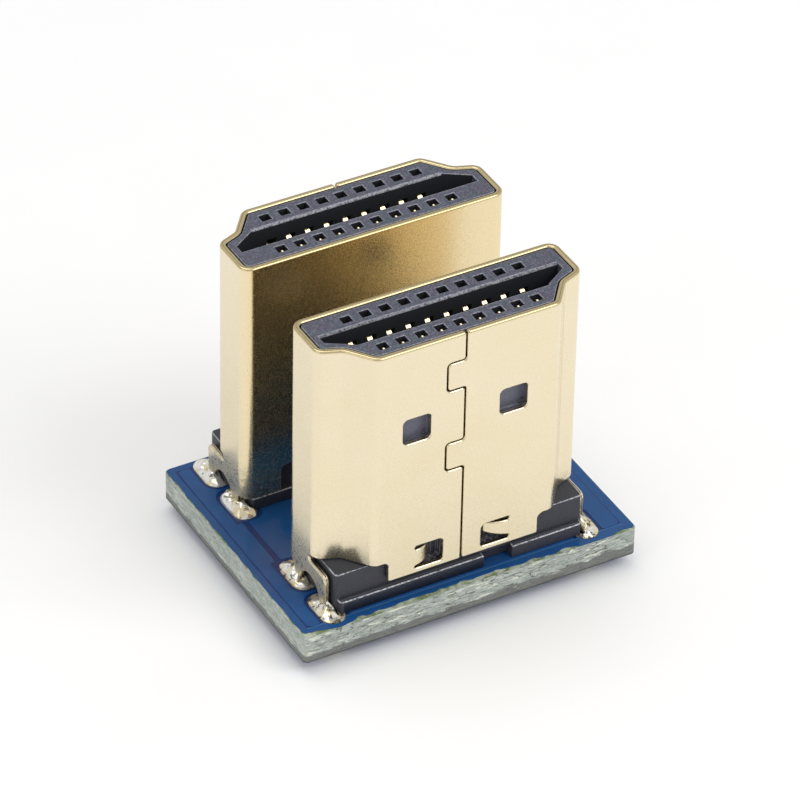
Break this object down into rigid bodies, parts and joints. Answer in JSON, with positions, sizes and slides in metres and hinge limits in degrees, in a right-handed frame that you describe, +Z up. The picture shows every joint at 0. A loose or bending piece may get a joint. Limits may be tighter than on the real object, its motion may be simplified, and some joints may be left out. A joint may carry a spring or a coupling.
{
  "type": "hdmi male-to-male adapter",
  "caption": "Small adapter board with two upright 19-contact video plugs in gold-plated shells, set back to back to join two sockets.",
  "frame": {"origin": "bottom centre of the bounding box, on the plane of the shell leg tips", "axes": "+Z up, out of the plugs; +X along the long side of both plugs; -Y towards the narrow, seamed face of the front plug"},
  "size_m": [0.0178, 0.0142, 0.0164],
  "materials": {
    "gold_plate": "gold flash over nickel, satin with a fine grain",
    "contact_metal": "bright gold plate",
    "insulator": "moulded, matt slate black",
    "solder_mask": "glossy blue mask over glass-epoxy laminate",
    "land_metal": "tinned copper",
    "solder": "bright tin solder"
  },
  "bodies": {
    "root": {"board": "solder_mask", "front_shell": "gold_plate", "rear_shell": "gold_plate", "front_housing": "insulator", "rear_housing": "insulator", "front_leg_lands": "land_metal", "rear_leg_lands": "land_metal", "front_tail_lands": "land_metal", "rear_tail_lands": "land_metal", "front_leg_solder": "solder", "rear_leg_solder": "solder", "front_tail_solder": "solder", "rear_tail_solder": "solder", "front_contact_01": "contact_metal", "front_contact_02": "contact_metal", "front_contact_03": "contact_metal", "front_contact_04": "contact_metal", "front_contact_05": "contact_metal", "front_contact_06": "contact_metal", "front_contact_07": "contact_metal", "front_contact_08": "contact_metal", "front_contact_09": "contact_metal", "front_contact_10": "contact_metal", "front_contact_11": "contact_metal", "front_contact_12": "contact_metal", "front_contact_13": "contact_metal", "front_contact_14": "contact_metal", "front_contact_15": "contact_metal", "front_contact_16": "contact_metal", "front_contact_17": "contact_metal", "front_contact_18": "contact_metal", "front_contact_19": "contact_metal", "rear_contact_01": "contact_metal", "rear_contact_02": "contact_metal", "rear_contact_03": "contact_metal", "rear_contact_04": "contact_metal", "rear_contact_05": "contact_metal", "rear_contact_06": "contact_metal", "rear_contact_07": "contact_metal", "rear_contact_08": "contact_metal", "rear_contact_09": "contact_metal", "rear_contact_10": "contact_metal", "rear_contact_11": "contact_metal", "rear_contact_12": "contact_metal", "rear_contact_13": "contact_metal", "rear_contact_14": "contact_metal", "rear_contact_15": "contact_metal", "rear_contact_16": "contact_metal", "rear_contact_17": "contact_metal", "rear_contact_18": "contact_metal", "rear_contact_19": "contact_metal"}
  },
  "joints": []
}
